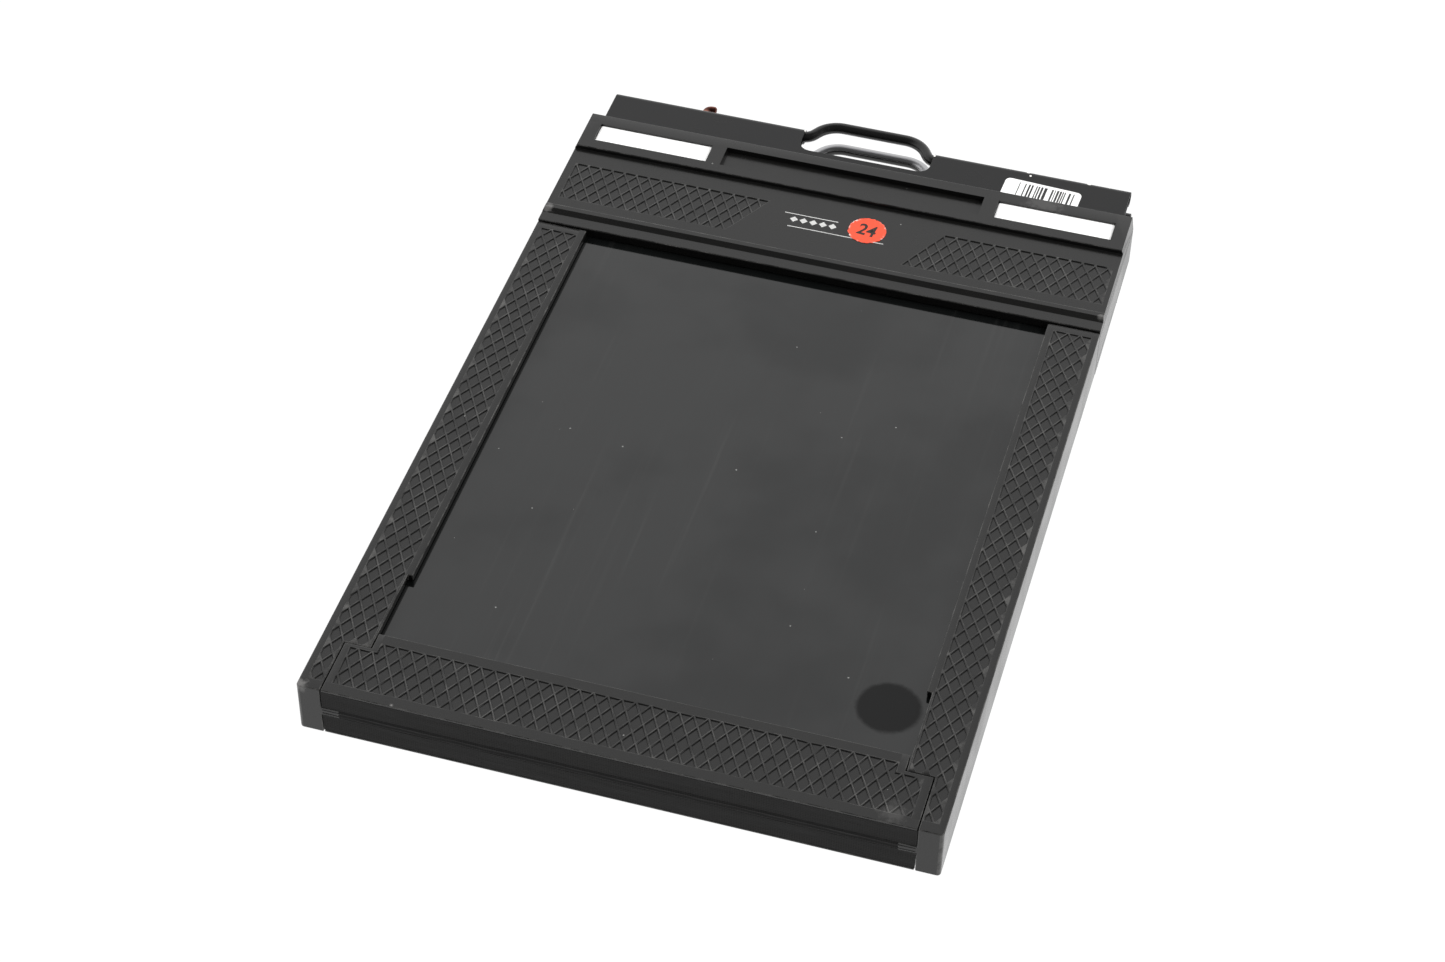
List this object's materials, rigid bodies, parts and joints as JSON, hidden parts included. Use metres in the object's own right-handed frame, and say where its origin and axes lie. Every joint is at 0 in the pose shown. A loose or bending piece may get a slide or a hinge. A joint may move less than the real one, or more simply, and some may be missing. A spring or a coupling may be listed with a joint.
{
  "type": "double-sided sheet film holder",
  "caption": "Flat double-sided holder for 4x5 in sheet film, with pull-out dark slides on wire bails, hinged loading flaps and turning wire latches.",
  "frame": {"origin": "centre of the bounding box's bottom face, under the middle of the holder", "axes": "+Y from the loading flaps to the slide handles, +Z out of the front film side, +X to the right seen from the front with the handles up"},
  "size_m": [0.1206, 0.1924, 0.0151],
  "materials": {
    "moulded_black": "moulded grain, satin",
    "slide_sheet": "satin gloss, fine lengthwise scratches",
    "hem_enamel": "satin black enamel, chipped at edges",
    "bail_wire": "bright wire, enamelled black on its outward side",
    "septum_metal": "dark anodised",
    "hinge_cloth": "black book cloth",
    "velvet_pile": "black velvet",
    "spring_bronze": "rolled bronze",
    "latch_wire": "tarnished copper wire",
    "write_on_white": "matt white writing surface",
    "number_dot": "printed paper sticker",
    "label_paper": "white paper label"
  },
  "bodies": {
    "frame": {"rail_left": "moulded_black", "rail_right": "moulded_black", "end_core": "moulded_black", "end_cover_front": "moulded_black", "end_cover_rear": "moulded_black", "septum": "septum_metal", "trap_pile_front": "velvet_pile", "trap_pile_rear": "velvet_pile", "trap_spring_front": "spring_bronze", "trap_spring_rear": "spring_bronze", "write_on_strip_front_left": "write_on_white", "write_on_strip_front_right": "write_on_white", "write_on_strip_rear_left": "write_on_white", "write_on_strip_rear_right": "write_on_white", "number_dot": "number_dot", "hinge_tape_spine": "hinge_cloth"},
    "front_slide": {"slide_front_sheet": "slide_sheet", "slide_front_hem": "hem_enamel", "slide_front_bail": "bail_wire", "paper_label": "label_paper"},
    "rear_slide": {"slide_rear_sheet": "slide_sheet", "slide_rear_hem": "hem_enamel", "slide_rear_bail": "bail_wire"},
    "front_flap": {"flap_front": "moulded_black", "hinge_tape_front": "hinge_cloth"},
    "rear_flap": {"flap_rear": "moulded_black", "hinge_tape_rear": "hinge_cloth"},
    "left_latch": {"latch_left": "latch_wire"},
    "right_latch": {"latch_right": "latch_wire"}
  },
  "joints": [
    {"name": "front_slide_pull", "type": "slide", "parent": "frame", "child": "front_slide", "axis": [0, 1, 0], "range_m": [0, 0.15]},
    {"name": "rear_slide_pull", "type": "slide", "parent": "frame", "child": "rear_slide", "axis": [0, 1, 0], "range_m": [0, 0.15]},
    {"name": "front_flap_hinge", "type": "hinge", "parent": "frame", "child": "front_flap", "pos_m": [0, -0.0961, 0.00835], "axis": [1, 0, 0], "range_deg": [0, 95]},
    {"name": "rear_flap_hinge", "type": "hinge", "parent": "frame", "child": "rear_flap", "pos_m": [0, -0.0961, 0.00675], "axis": [-1, 0, 0], "range_deg": [0, 95]},
    {"name": "left_latch_turn", "type": "hinge", "parent": "frame", "child": "left_latch", "pos_m": [-0.039, 0.0773, 0.00755], "axis": [0, 1, 0], "range_deg": [-90, 90]},
    {"name": "right_latch_turn", "type": "hinge", "parent": "frame", "child": "right_latch", "pos_m": [0.039, 0.0773, 0.00755], "axis": [0, 1, 0], "range_deg": [-90, 90]}
  ]
}
